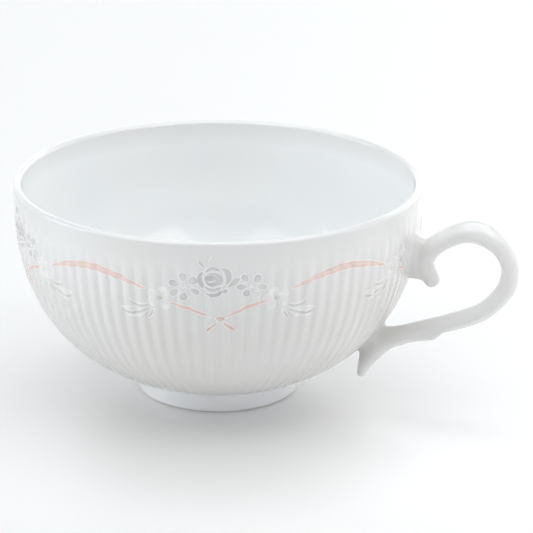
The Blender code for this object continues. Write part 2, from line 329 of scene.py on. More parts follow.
def glaze(name, warm, cool, roughness):
    """Clear glossy glaze over white porcelain: faint colour drift, uneven gloss and a slight ripple."""
    made, nodes, links = new_material(name)
    shader = nodes["Principled BSDF"]
    drift = ramp(nodes, links, noise(nodes, links, DRIFT_SCALE, 3.0), 0.35, 0.65)
    # The tint attribute paints shade low on the outside and on the lip, and paints light inside the cup
    tint = nodes.new("ShaderNodeAttribute")
    tint.attribute_name = "tint"
    colour = blend_colours(nodes, links, drift, warm, cool)
    links.new(multiply_colours(nodes, links, colour, tint.outputs["Color"]), shader.inputs["Base Color"])
    gloss = noise(nodes, links, GLOSS_SCALE, 2.0)
    links.new(ramp(nodes, links, gloss, 0.3, 0.7, roughness * 0.8, roughness * 1.3),
              shader.inputs["Roughness"])
    bump = nodes.new("ShaderNodeBump")
    bump.inputs["Strength"].default_value = RIPPLE_STRENGTH
    bump.inputs["Distance"].default_value = RIPPLE_HEIGHT
    links.new(noise(nodes, links, RIPPLE_SCALE, 2.0), bump.inputs["Height"])
    links.new(bump.outputs["Normal"], shader.inputs["Normal"])
    shader.inputs["IOR"].default_value = GLAZE_IOR
    shader.inputs["Coat Weight"].default_value = COAT_WEIGHT
    shader.inputs["Coat Roughness"].default_value = COAT_ROUGHNESS
    return made


def foot_finish(name, warm, cool, roughness):
    """The foot's glaze, which stops short of the standing edge and leaves dry bisque there."""
    made = glaze(name, warm, cool, roughness)
    nodes = made.node_tree.nodes
    links = made.node_tree.links
    shader = nodes["Principled BSDF"]
    place = nodes.new("ShaderNodeTexCoord")
    split = nodes.new("ShaderNodeSeparateXYZ")
    links.new(place.outputs["Object"], split.inputs["Vector"])
    wander = ramp(nodes, links, noise(nodes, links, DRY_EDGE_SCALE, 3.0), 0.3, 0.7, -DRY_WANDER, DRY_WANDER)
    height = nodes.new("ShaderNodeMath")
    height.operation = "ADD"
    links.new(split.outputs["Z"], height.inputs[0])
    links.new(wander, height.inputs[1])
    glazed = ramp(nodes, links, height.outputs[0], DRY_HEIGHT, DRY_HEIGHT + DRY_FADE)
    glaze_colour = shader.inputs["Base Color"].links[0].from_socket
    glaze_rough = shader.inputs["Roughness"].links[0].from_socket
    links.new(blend_colours(nodes, links, glazed, BISQUE_COLOUR, glaze_colour),
              shader.inputs["Base Color"])
    mix = nodes.new("ShaderNodeMix")
    mix.inputs[2].default_value = BISQUE_ROUGHNESS
    links.new(glazed, mix.inputs[0])
    links.new(glaze_rough, mix.inputs[3])
    links.new(mix.outputs[0], shader.inputs["Roughness"])
    return made


def print_finish(name, roughness):
    """Overglaze enamel: each stroke's own colour times the painted shade it takes from the wall, softly
    mottled like a screened print.
    """
    made, nodes, links = new_material(name)
    shader = nodes["Principled BSDF"]
    tint = nodes.new("ShaderNodeVertexColor")
    tint.layer_name = "tint"
    cloud = noise(nodes, links, CLOUD_SCALE, 4.0)
    grain = noise(nodes, links, GRAIN_SCALE, 2.0)
    both = nodes.new("ShaderNodeMath")
    both.operation = "MULTIPLY"
    links.new(ramp(nodes, links, cloud, 0.3, 0.7, 0.95, 1.03), both.inputs[0])
    links.new(ramp(nodes, links, grain, 0.3, 0.7, 0.97, 1.02), both.inputs[1])
    links.new(multiply_colours(nodes, links, tint.outputs["Color"], both.outputs[0]),
              shader.inputs["Base Color"])
    links.new(ramp(nodes, links, cloud, 0.3, 0.7, roughness * 0.85, roughness * 1.2),
              shader.inputs["Roughness"])
    shader.inputs["IOR"].default_value = GLAZE_IOR
    return made


# Bowl and foot

# Each step down a wall is an angle in degrees, whose cosine times the rim's radius is the radius there
OUTSIDE_STEPS = np.concatenate((np.linspace(66.0, 30.0, 25), np.linspace(28.5, 9.0, 14),
                                np.linspace(8.4, 3.2, 12)))
INSIDE_STEPS = np.concatenate((np.linspace(2.0, 14.0, 9), np.linspace(16.0, 86.0, 36)))
LIP_STEPS = 13
LIP_GAP = 0.4 * MM                # the wall's steps stop this far below the lip's curve
COARSE_RADIUS = 12.0 * MM         # nearer the middle than this, the inside's rings have fewer points


def build_bowl(material):
    """The bowl from its underside up the reeded outside, over the lip and down the inside."""
    fine = RIB_COUNT * POINTS_PER_RIB
    medium = RIB_COUNT * 2
    rings = [ring_of(RIB_COUNT, UNDERSIDE_RADIUS * 0.5, UNDERSIDE_HEIGHT),
             ring_of(RIB_COUNT, UNDERSIDE_RADIUS * 0.97, UNDERSIDE_HEIGHT),
             ring_of(RIB_COUNT, UNDERSIDE_RADIUS + 0.4 * MM, UNDERSIDE_HEIGHT + 0.15 * MM),
             ring_of(medium, FOOT_RADIUS - 1.2 * MM, wall_height(FOOT_RADIUS) - 0.35 * MM)]
    for turn in np.radians(OUTSIDE_STEPS):
        height = wall_height(RIM_RADIUS * math.cos(turn))
        if height > HEIGHT - LIP_RADIUS - LIP_GAP:
            break
        depth = RIB_DEPTH * rib_strength(height)
        rings.append(ring_of(fine, wall_radius(height), height, lambda angle: depth * groove_share(angle)))
    lip_centre = HEIGHT - LIP_RADIUS
    for turn in np.linspace(0.0, math.pi, LIP_STEPS):
        reach = RIM_RADIUS - LIP_RADIUS + LIP_RADIUS * math.cos(turn)
        rings.append(ring_of(medium, reach, lip_centre + LIP_RADIUS * math.sin(turn)))
    outside = len(rings)
    for turn in np.radians(INSIDE_STEPS):
        radius = (RIM_RADIUS - 2 * LIP_RADIUS) * math.cos(turn)
        count = medium if radius > COARSE_RADIUS else RIB_COUNT
        rings.append(ring_of(count, radius, inner_height(radius)))
    # The vertex colours paint shade low on the outside and on the lip, and paint light inside the cup
    colours = [painted_wall_shade(ring[:, 2]) for ring in rings[:outside]]
    for ring in rings[outside:]:
        share = smooth_step((HEIGHT - ring[:, 2:3]) / INSIDE_FADE)
        colours.append(1.0 + share * (np.array(INSIDE_TINT) - 1.0))
    colours = np.vstack(colours) * painted_lip_shade(np.vstack(rings)[:, 2])
    bowl = revolve("cup_bowl", rings, material, colours=colours)
    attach(bowl, "root")
    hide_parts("bowl")


def arc(centre, radius, start, end, steps):
    """Points of an arc in (radius, height), angles in degrees."""
    for step in range(steps + 1):
        turn = math.radians(start + (end - start) * step / steps)
        yield centre[0] + radius * math.cos(turn), centre[1] + radius * math.sin(turn)


def build_foot(material):
    """The foot: a turned ring with rounded edges, flaring softly into the bowl's underside."""
    outer = FOOT_RADIUS
    inner = FOOT_INNER_RADIUS
    seat = wall_height(outer + FOOT_FLARE) - 0.1 * MM
    flare_centre = (outer - 0.05 * MM + FOOT_FLARE, seat - FOOT_FLARE + 0.15 * MM)
    recess_centre = (inner - RECESS_CORNER, UNDERSIDE_HEIGHT - RECESS_CORNER)
    outline = list(arc((inner + FOOT_INNER_EDGE, FOOT_INNER_EDGE), FOOT_INNER_EDGE, 180, 270, 5))
    outline += list(arc((outer - FOOT_EDGE, FOOT_EDGE), FOOT_EDGE, 270, 355, 7))
    outline += [(outer - 0.12 * MM, 1.6 * MM), (outer - 0.08 * MM, 2.6 * MM)]
    outline += list(arc(flare_centre, FOOT_FLARE, 180, 100, 8))
    outline += [(outer - 1.0 * MM, seat), (inner + 0.4 * MM, UNDERSIDE_HEIGHT + 0.3 * MM)]
    outline += list(arc(recess_centre, RECESS_CORNER, 90, 0, 5))
    rings = [ring_of(RIB_COUNT * 2, radius, height) for radius, height in outline]
    foot = revolve("cup_foot", rings, material, cap_ends=False)
    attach(foot, "root")
    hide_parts("foot_ring", "foot_slip")


# Handle: a smooth blend of swept shapes with the wall, sampled on a grid. Sizes are in millimetres

# Centre lines: (distance from the bowl's axis, height, half thickness)
STRAP = (
    (54.0, 33.5, 2.0), (52.2, 37.6, 2.2), (54.3, 41.7, 2.4), (58.8, 45.0, 2.55), (63.2, 46.5, 2.8),
    (67.4, 45.7, 2.8), (70.9, 42.9, 2.4), (72.8, 38.7, 2.1), (72.5, 34.0, 2.2), (70.1, 29.9, 2.2),
    (65.9, 26.1, 2.25), (59.4, 23.1, 2.2), (51.5, 20.1, 2.2), (45.6, 17.6, 2.4), (41.6, 16.2, 2.4),
)
TAIL = (
    (58.0, 21.3, 2.0), (54.6, 19.9, 2.0), (49.0, 18.7, 2.05), (45.2, 17.6, 2.3), (42.3, 15.8, 2.5),
    (39.8, 12.8, 2.3), (38.0, 9.8, 1.75), (37.0, 7.1, 1.05),
)
PAD = ((50.6, 35.4, 2.1), (50.0, 39.0, 2.0), (50.4, 42.0, 1.7))
BARB_TIP = (54.8, 17.8)
BARB_FACE = math.radians(46.0)    # slope of the step behind the barb
HANDLE_BREADTH = 1.28             # breadth over thickness
HANDLE_SECTION = 1.8              # below 2 the section has a soft ridge along its side
HANDLE_STEP = 0.26                # the grid's spacing
GRID_LOW = np.array([31.0, -8.0, 3.0])
GRID_SIZE = np.array([47.0, 16.0, 50.0])
SWEEP_STEPS = 8                   # straight runs for each stretch of a centre line
SMOOTHING_ROUNDS = 3
WALL_BLEND = 3.6                  # width of the soft join between handle and wall
PAD_BLEND = 1.6
LEAF_BLEND = 0.5
WALL_SINK = 0.42                  # the blended wall lies this far below the ribs' crests
PATCH_REACH = WALL_BLEND + 0.6    # how far the blended wall goes on past the handle
PATCH_DEPTH = 0.9


def catmull_rom(points, per_span):
    """Points along the smooth curve through the given ones."""
    points = np.array(points, float)
    padded = np.vstack((points[0], points, points[-1]))
    share = np.linspace(0.0, 1.0, per_span, endpoint=False)[:, None]
    spans = []
    for before, start, end, after in zip(padded, padded[1:], padded[2:], padded[3:]):
        spans.append(0.5 * (2 * start + (end - before) * share
                            + (2 * before - 5 * start + 4 * end - after) * share ** 2
                            + (3 * start - before - 3 * end + after) * share ** 3))
    return np.vstack(spans + [points[-1:]])


def swept_distance(line, reach, height, side):
    """Rough distance to a sweep whose centre line lies in the handle's plane."""
    curve = catmull_rom(line, SWEEP_STEPS)
    best = np.full(reach.shape, np.inf)
    across = np.zeros(reach.shape)
    beyond = np.zeros(reach.shape)
    size = np.ones(reach.shape)
    for start, end in zip(curve, curve[1:]):
        run = end[:2] - start[:2]
        length = np.hypot(*run)
        along = ((reach - start[0]) * run[0] + (height - start[1]) * run[1]) / length ** 2
        held = np.clip(along, 0.0, 1.0)
        off_x = reach - (start[0] + held * run[0])
        off_z = height - (start[1] + held * run[1])
        away = np.hypot(off_x, off_z)
        over = (along - held) * length
        nearer = away < best
        best = np.where(nearer, away, best)
        beyond = np.where(nearer, over, beyond)
        across = np.where(nearer, np.sqrt(np.maximum(away ** 2 - over ** 2, 0.0)), across)
        size = np.where(nearer, start[2] + held * (end[2] - start[2]), size)
    flat = (across / size) ** HANDLE_SECTION
    flat = flat[:, None, :] + np.abs(side / (size * HANDLE_BREADTH)[:, None, :]) ** HANDLE_SECTION
    flat = flat ** (1 / HANDLE_SECTION)
    norm = np.sqrt(flat ** 2 + (beyond / size)[:, None, :] ** 2)
    radial = np.sqrt(best[:, None, :] ** 2 + side ** 2)
    return np.where(norm > 1e-3, radial * (1 - 1 / np.maximum(norm, 1e-3)), -size[:, None, :])


def soft_union(first, second, width):
    """The smaller of two distances, rounded where they meet."""
    share = np.clip(0.5 + 0.5 * (second - first) / width, 0.0, 1.0)
    return second + (first - second) * share - width * share * (1 - share)


def surface_net(field, origin, step):
    """Vertices and faces of the surface where field is 0; it is negative inside."""
    shape = np.array(field.shape) - 1
    total = np.zeros((*shape, 3))
    count = np.zeros(shape, int)
    corners = list(itertools.product((0, 1), repeat=3))
    cut = {c: field[c[0]:c[0] + shape[0], c[1]:c[1] + shape[1], c[2]:c[2] + shape[2]] for c in corners}
    for a in corners:
        for axis in range(3):
            if a[axis]:
                continue
            b = tuple(1 if i == axis else v for i, v in enumerate(a))
            crossing = (cut[a] < 0) != (cut[b] < 0)
            gap = np.where(crossing, cut[a] - cut[b], 1.0)
            share = np.where(crossing, cut[a] / gap, 0.0)
            for i in range(3):
                total[..., i] += crossing * (a[i] + (share if i == axis else 0.0))
            count += crossing
    active = count > 0
    index = np.full(shape, -1)
    index[active] = np.arange(active.sum())
    cells = np.argwhere(active)
    verts = origin + step * (cells + total[active] / count[active][:, None])
    faces = []
    for axis in range(3):
        one, two = [i for i in range(3) if i != axis]
        if axis == 1:
            one, two = two, one
        near = np.moveaxis(field, (axis, one, two), (0, 1, 2))
        cell = np.moveaxis(index, (axis, one, two), (0, 1, 2))
        start = near[:-1, 1:-1, 1:-1] < 0
        end = near[1:, 1:-1, 1:-1] < 0
        quad = np.stack((cell[:, :-1, :-1], cell[:, 1:, :-1], cell[:, 1:, 1:], cell[:, :-1, 1:]), -1)
        faces.append(quad[start & ~end])
        faces.append(quad[~start & end][:, ::-1])
    return verts, np.vstack(faces)


def sample(field, places):
    """Trilinear values of a grid at places given in grid steps."""
    base = np.clip(places.astype(int), 0, np.array(field.shape) - 2)
    share = places - base
    total = np.zeros(len(places))
    for corner in itertools.product((0, 1), repeat=3):
        weight = np.prod(np.where(corner, share, 1 - share), axis=1)
        at = base + corner
        total += weight * field[at[:, 0], at[:, 1], at[:, 2]]
    return total


def settle(verts, field, origin, step, rounds):
    """Moves vertices onto the surface where field is 0."""
    slopes = np.gradient(field, step)
    for _ in range(rounds):
        places = (verts - origin) / step
        slope = np.column_stack([sample(part, places) for part in slopes])
        size = np.maximum(np.sum(slope ** 2, axis=1), 0.05)[:, None]
        verts = verts - np.clip(sample(field, places)[:, None] * slope / size, -step, step)
    return verts


def relax(verts, faces, rounds):
    """Evens out a quad mesh by moving each vertex towards the middle of its neighbours."""
    edges = np.vstack([faces[:, [i, (i + 1) % 4]] for i in range(4)])
    edges = np.vstack((edges, edges[:, ::-1]))
    count = np.bincount(edges[:, 0], minlength=len(verts))[:, None]
    for _ in range(rounds):
        middle = np.column_stack([np.bincount(edges[:, 0], verts[edges[:, 1], i], len(verts))
                                  for i in range(3)]) / count
        verts = verts * 0.5 + middle * 0.5
    return verts


def build_handle(material):
    """The handle and the slip at its two ends, flowing into the wall."""
    reach, side, height = [GRID_LOW[i] + HANDLE_STEP * np.arange(int(GRID_SIZE[i] / HANDLE_STEP))
                           for i in range(3)]
    plane_x, plane_z = np.meshgrid(reach, height, indexing="ij")
    side = side[None, :, None]
    strap = swept_distance(STRAP, plane_x, plane_z, side)
    tail = swept_distance(TAIL, plane_x, plane_z, side)
    pad = swept_distance(PAD, plane_x, plane_z, side)
    step_face = ((plane_x - BARB_TIP[0]) * math.sin(BARB_FACE)
                 - (plane_z - BARB_TIP[1]) * math.cos(BARB_FACE))
    tail = np.maximum(tail, step_face[:, None, :])
    handle = soft_union(strap, tail, LEAF_BLEND)
    handle = soft_union(handle, pad, PAD_BLEND)
    axis_distance = np.sqrt(plane_x[:, None, :] ** 2 + side ** 2)
    slope_radius = wall_radius(height * MM) / MM
    steep = np.gradient(slope_radius, height)
    skin = (axis_distance - slope_radius[None, None, :] + WALL_SINK) / np.sqrt(1 + steep ** 2)
    field = soft_union(handle, skin, WALL_BLEND)
    # The blended wall stays only near the handle, as a thin patch inside the bowl's own wall
    field = np.maximum(field, np.maximum(-(skin + PATCH_DEPTH), handle - PATCH_REACH))
    verts, faces = surface_net(field, GRID_LOW, HANDLE_STEP)
    for _ in range(SMOOTHING_ROUNDS):
        verts = settle(relax(verts, faces, 2), field, GRID_LOW, HANDLE_STEP, 2)
    verts = verts * MM
    verts[:, 0] += AXIS_X
    # The handle carries the wall's painted shade, fading away from the wall
    outward = np.hypot(verts[:, 0] - AXIS_X, verts[:, 1]) - wall_radius(verts[:, 2])
    share = 1.0 - HANDLE_SHADE_LOSS * smooth_step(outward / HANDLE_SHADE_REACH)
    colours = 1.0 + share[:, None] * (painted_wall_shade(verts[:, 2]) - 1.0)
    made = add_mesh("cup_handle", verts, faces, material, colours)
    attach(made, "root")
    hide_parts("handle", "handle_slip_upper", "handle_slip_lower")


# Print. Places are (distance along the wall, height) in millimetres, from the middle of a spray.

WHITE = (0.90, 0.90, 0.90)
BLOSSOM = (0.845, 0.843, 0.835)
LEAF = (0.875, 0.875, 0.868)
GREY = (0.62, 0.62, 0.62)
GREY_PALE = (0.66, 0.665, 0.655)
GREY_DEEP = (0.54, 0.54, 0.545)
GREY_MAUVE = (0.60, 0.585, 0.605)
GREY_FAINT = (0.72, 0.72, 0.715)
OLIVE = (0.63, 0.64, 0.585)
SPRIG = (0.79, 0.80, 0.75)
LEAF_SHADE = (0.62, 0.63, 0.59)
PETAL_SHADE = (0.83, 0.83, 0.81)
BLUSH = (0.70, 0.655, 0.64)
PINK = (0.83, 0.64, 0.60)
PINK_DEEP = (0.79, 0.60, 0.56)
PEACH = (0.73, 0.54, 0.46)
PEACH_PALE = (0.77, 0.62, 0.56)
OUTLINE = 0.21                    # breadth of the white edge round a stroke
STROKE_STEP = 0.3                 # longest run between two rows of a stroke
STROKE_ACROSS = np.array([-1.0, -0.5, 0.0, 0.5, 1.0])
STROKE_ENDS = np.radians([18.0, 40.0, 65.0])    # steps round a stroke's half-round end
PETAL_POINTS = 24
PETAL_LEVELS = (0.3, 0.6, 0.85, 1.0)
FILM = 0.024 * MM                 # thickness of one layer of print


class Patch:
    """The strokes of one printed piece, gathered into one mesh on the wall."""

    def __init__(self, bearing):
        self.bearing = bearing
        self.verts = []
        self.faces = []
        self.colours = []
        self.count = 0

    def add(self, places, layer, faces, rim, colours):
        """Adds a thin closed film. rim lists the places round its edge, anticlockwise."""
        places = np.asarray(places, float)
        angle = self.bearing + places[:, 0] * MM / PRINT_RADIUS
        height = places[:, 1] * MM
        wall = ribbed_radius(angle, height)
        for lift in ((layer + 1) * FILM, -FILM):
            radius = wall + lift
            self.verts.append(np.column_stack((AXIS_X + radius * np.cos(angle), radius * np.sin(angle),
                                               height)))
            self.colours.append(np.broadcast_to(colours, (len(places), 3)))
        top = self.count
        under = top + len(places)
        self.faces += [[top + i for i in face] for face in faces]
        self.faces += [[under + i for i in reversed(face)] for face in faces]
        for a, b in zip(rim, rim[1:] + rim[:1]):
            self.faces.append([top + b, top + a, under + a, under + b])
        self.count += 2 * len(places)

    def petal(self, centre, length, width, turn, colour, tip=None, taper=0.0, layer=1, edge=True):
        """A rounded petal; turn is in degrees, and taper narrows its base."""
        if edge:
            self.petal(centre, length + OUTLINE, width + OUTLINE, turn, WHITE, None, taper, layer - 0.5,
                       False)
        around = PETAL_POINTS
        angle = np.arange(around) * 2 * np.pi / around
        unit = np.column_stack((np.cos(angle), np.sin(angle) * (1 + taper * np.cos(angle))))
        local = np.vstack([[0.0, 0.0]] + [unit * level for level in PETAL_LEVELS])
        turned = math.radians(turn)
        spin = np.array([[math.cos(turned), math.sin(turned)], [-math.sin(turned), math.cos(turned)]])
        places = np.array(centre) + (local * (length, width)) @ spin
        faces = [[0, 1 + i, 1 + (i + 1) % around] for i in range(around)]
        for level in range(len(PETAL_LEVELS) - 1):
            faces += bridge(around, 1 + (level + 1) * around, around, 1 + level * around)
        rim = [1 + (len(PETAL_LEVELS) - 1) * around + i for i in range(around)]
        towards = (local[:, :1] + 1) / 2
        tint = np.array(colour) * (1 - towards) + np.array(tip or colour) * towards
        self.add(places, layer, [[int(i) for i in face] for face in faces], rim, tint)

    def stroke(self, line, colour, end=None, layer=1, edge=True):
        """A brush stroke along (distance, height, half width) points."""
        if edge:
            wider = [(x, z, half + OUTLINE) for x, z, half in line]
            self.stroke(wider, WHITE, None, layer - 0.5, False)
        widest = max(math.dist(a[:2], b[:2]) for a, b in zip(line, line[1:]))
        curve = catmull_rom(line, math.ceil(widest / STROKE_STEP))
        run = np.gradient(curve[:, :2], axis=0)
        run /= np.maximum(np.linalg.norm(run, axis=1), 1e-9)[:, None]
        half = np.maximum(curve[:, 2], 0.02)
        ends = []
        for at, way in ((0, -1), (-1, 1)):
            ends.append([(curve[at, :2] + way * run[at] * half[at] * math.sin(turn), run[at],
                          half[at] * math.cos(turn)) for turn in STROKE_ENDS])
        rows = ends[0][::-1] + list(zip(curve[:, :2], run, half)) + ends[1]
        places = np.vstack([middle + np.outer(STROKE_ACROSS * size, (-way[1], way[0]))
                            for middle, way, size in rows])
        wide = len(STROKE_ACROSS)
        edge_step = wide - 1
        last = (len(rows) - 1) * wide
        faces = [[a, a + wide, a + wide + 1, a + 1] for row in range(len(rows) - 1)
                 for a in range(row * wide, row * wide + edge_step)]
        rim = [*range(0, last, wide), *range(last, last + edge_step),
               *range(last + edge_step, edge_step, -wide), *range(edge_step, 0, -1)]
        share = np.repeat(np.linspace(0.0, 1.0, len(rows)), wide)[:, None]
        tint = np.array(colour) * (1 - share) + np.array(end or colour) * share
        self.add(places, layer, faces, rim, tint)

    def finish(self, name, material, slot, *nodes):
        """Makes the piece that stands for these CAD nodes."""
        verts = np.vstack(self.verts)
        # The print takes half of the wall's painted shade
        colours = np.vstack(self.colours) * np.sqrt(painted_wall_shade(verts[:, 2]))
        made = add_mesh(name, verts, self.faces, material, colours)
        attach(made, "root")
        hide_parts(*nodes)


def lighter(colour, share):
    """Mixes a share of white into a colour."""
    return tuple(part * (1 - share) + white * share for part, white in zip(colour, WHITE))


# Petals of the two flowers: (angle, distance from the eye, half length, half width, colour)
LEFT_FLOWER = ((-7.68, 43.26), (
    (99, 2.4, 0.98, 0.9, GREY_PALE), (39, 2.4, 1.15, 0.92, GREY), (-24, 2.45, 1.2, 0.72, GREY),
    (-97, 2.4, 1.02, 0.9, GREY_MAUVE), (-148, 2.8, 1.2, 0.78, GREY_PALE), (164, 2.5, 1.3, 0.78, GREY),
))
RIGHT_FLOWER = ((7.55, 43.36), (
    (125, 2.5, 1.15, 0.66, GREY), (54, 2.25, 1.05, 0.88, GREY), (-6, 2.4, 1.2, 0.64, GREY_PALE),
    (-59, 2.35, 0.9, 0.78, GREY_FAINT), (-123, 1.9, 0.9, 0.78, GREY_MAUVE), (180, 2.2, 1.12, 0.7, GREY),
))


def draw_flower(patch, centre, petals):
    """Grey petals round a white eye."""
    for angle, distance, length, width, colour in petals:
        turn = math.radians(angle)
        middle = (centre[0] + distance * math.cos(turn), centre[1] + distance * math.sin(turn))
        patch.petal(middle, length, width, angle, lighter(colour, 0.25), colour, taper=0.3)
        heart = (middle[0] + 0.12 * math.cos(turn), middle[1] + 0.12 * math.sin(turn))
        patch.petal(heart, length * 0.6, width * 0.5, angle, lighter(colour, 0.35), lighter(colour, 0.12),
                    taper=0.3, layer=2, edge=False)
    patch.petal(centre, 0.62, 0.6, 0, WHITE, layer=2, edge=False)
    for angle in (30, 150, 270):
        turn = math.radians(angle)
        dot = (centre[0] + 0.42 * math.cos(turn), centre[1] + 0.42 * math.sin(turn))
        patch.petal(dot, 0.13, 0.13, 0, GREY_MAUVE, layer=3, edge=False)


def draw_trimmed_flower(patch, side):
    """The flower beside the handle, cut so that it clears the handle's foot."""
    centre = (side * 8.6, 43.2)
    petals = []
    for angle, colour in ((100, GREY_PALE), (40, GREY), (-20, GREY), (-80, GREY_MAUVE)):
        petals.append((angle if side > 0 else 180 - angle, 2.1, 1.05, 0.75, colour))
    draw_flower(patch, centre, petals)


def draw_rose(patch):
    """A full-blown rose: outer petals first, then the cup of the bloom, then the heart."""
    patch.stroke([(-4.32, 49.57, 0.2), (-3.81, 48.94, 0.32), (-3.1, 48.2, 0.16)], OLIVE, GREY_PALE)
    patch.stroke([(-2.3, 49.3, 0.08), (-1.9, 50.2, 0.26), (-1.5, 51.0, 0.08)], SPRIG, WHITE, edge=False)
    patch.stroke([(3.2, 46.9, 0.08), (3.9, 47.8, 0.25), (4.1, 48.9, 0.08)], SPRIG, WHITE, edge=False)
    patch.stroke([(2.3, 43.4, 0.15), (3.24, 44.2, 0.58), (4.15, 44.95, 0.6), (4.8, 45.45, 0.2)],
                 GREY_PALE, OLIVE)
    patch.petal((1.61, 42.33), 0.62, 0.55, 60, GREY_PALE, GREY)
    # Outer petals
    patch.stroke([(-3.6, 47.0, 0.2), (-4.2, 46.1, 0.5), (-4.15, 44.8, 0.55), (-3.5, 43.6, 0.5),
                  (-2.5, 42.9, 0.2)], GREY, GREY_MAUVE)
    patch.stroke([(-2.8, 47.1, 0.2), (-1.9, 47.8, 0.4), (-0.9, 47.95, 0.42), (0.2, 47.4, 0.2)],
                 GREY_PALE, GREY)
    patch.stroke([(0.95, 47.95, 0.2), (1.75, 47.4, 0.55), (2.3, 46.4, 0.72), (2.25, 45.2, 0.62),
                  (1.9, 44.2, 0.25)], GREY_PALE, GREY)
    patch.stroke([(-2.95, 41.75, 0.12), (-1.86, 41.4, 0.38), (-0.82, 41.3, 0.45), (0.1, 41.65, 0.42),
                  (0.85, 42.4, 0.18)], GREY, GREY_DEEP)
    patch.stroke([(-3.1, 43.5, 0.15), (-2.2, 42.85, 0.38), (-1.17, 42.65, 0.42), (-0.1, 42.85, 0.4),
                  (0.6, 43.3, 0.18)], GREY, GREY_PALE, layer=2)
    # The cup of the bloom, its shading and its folds
    patch.petal((-1.05, 45.25), 2.15, 1.72, -8, GREY_PALE, GREY, layer=3)
    patch.petal((-1.4, 46.2), 1.35, 0.55, -8, BLUSH, GREY_PALE, layer=4, edge=False)
    patch.petal((0.05, 44.9), 0.7, 1.0, -25, GREY_PALE, GREY_PALE, layer=4, edge=False)
    patch.stroke([(-3.4, 45.6, 0.06), (-3.12, 44.5, 0.14), (-2.25, 43.6, 0.15), (-1.16, 43.42, 0.13),
                  (0.05, 43.8, 0.06)], WHITE, layer=4.5, edge=False)
    patch.stroke([(0.6, 47.7, 0.06), (1.3, 46.4, 0.14), (1.6, 45.1, 0.15), (1.36, 44.2, 0.13),
                  (0.65, 43.4, 0.06)], WHITE, layer=4.5, edge=False)
    patch.stroke([(-2.7, 44.6, 0.1), (-2.2, 44.08, 0.24), (-1.33, 44.0, 0.28), (-0.4, 44.45, 0.12)],
                 GREY_DEEP, GREY, layer=5, edge=False)
    patch.petal((-2.15, 45.6), 0.98, 0.52, 12, GREY_DEEP, GREY_MAUVE, layer=5, edge=False)
    patch.petal((-2.35, 44.98), 0.3, 0.2, 20, BLUSH, layer=5.5, edge=False)
    patch.stroke([(-2.3, 44.62, 0.07), (-1.5, 44.76, 0.17), (-0.6, 45.1, 0.07)], WHITE, layer=5.5,
                 edge=False)
    patch.stroke([(-2.7, 46.3, 0.05), (-1.8, 46.62, 0.08), (-0.8, 46.3, 0.07), (0.0, 45.6, 0.05)],
                 lighter(GREY_PALE, 0.6), layer=5, edge=False)


def draw_bow(patch):
    """The pink bow: two long ribbons that rise outwards, two short tails and a knot."""
    patch.stroke([(-11.2, 39.0, 0.08), (-9.67, 38.58, 0.27), (-7.9, 38.08, 0.38), (-5.78, 37.4, 0.34),
                  (-3.67, 36.5, 0.26), (-1.9, 35.72, 0.08)], PINK, PINK_DEEP)
    patch.stroke([(1.74, 35.6, 0.08), (3.06, 36.35, 0.26), (5.0, 37.4, 0.34), (7.1, 38.36, 0.44),
                  (8.86, 38.95, 0.42), (10.64, 39.32, 0.24), (11.6, 39.5, 0.08)], PINK_DEEP, PINK)
    patch.stroke([(-0.5, 34.15, 0.14), (-1.5, 33.2, 0.32), (-2.75, 32.1, 0.34)], PEACH, PEACH_PALE)
    patch.stroke([(1.3, 34.2, 0.18), (2.3, 33.35, 0.38), (3.2, 32.6, 0.36), (3.95, 32.1, 0.2)],
                 PEACH, PEACH_PALE)
    patch.petal((0.42, 35.3), 1.04, 0.56, 0, PEACH_PALE, PEACH, layer=2)
    patch.petal((0.42, 35.33), 0.6, 0.25, 0, lighter(PEACH, 0.3), layer=3, edge=False)


def draw_blossom(patch, side):
    """A white five-petal blossom with an olive eye."""
    centre = (side * 13.6, 40.0)
    for angle, distance in ((112, 1.65), (27, 1.85), (-30, 1.85), (-126, 1.85), (180, 1.95)):
        turn = math.radians(angle if side > 0 else 180 - angle)
        middle = (centre[0] + distance * math.cos(turn), centre[1] + distance * math.sin(turn))
        patch.petal(middle, 1.12, 0.98, math.degrees(turn), PETAL_SHADE, BLOSSOM, taper=0.2, layer=0)
        patch.petal(middle, 0.75, 0.6, math.degrees(turn), PETAL_SHADE, BLOSSOM, taper=0.2,
                    layer=1, edge=False)
    patch.petal(centre, 0.72, 0.55, 0, lighter(OLIVE, 0.35), SPRIG, layer=2, edge=False)
    patch.petal((centre[0] - side * 0.1, centre[1] - 0.05), 0.34, 0.26, 0, lighter(OLIVE, 0.2), layer=3,
                edge=False)


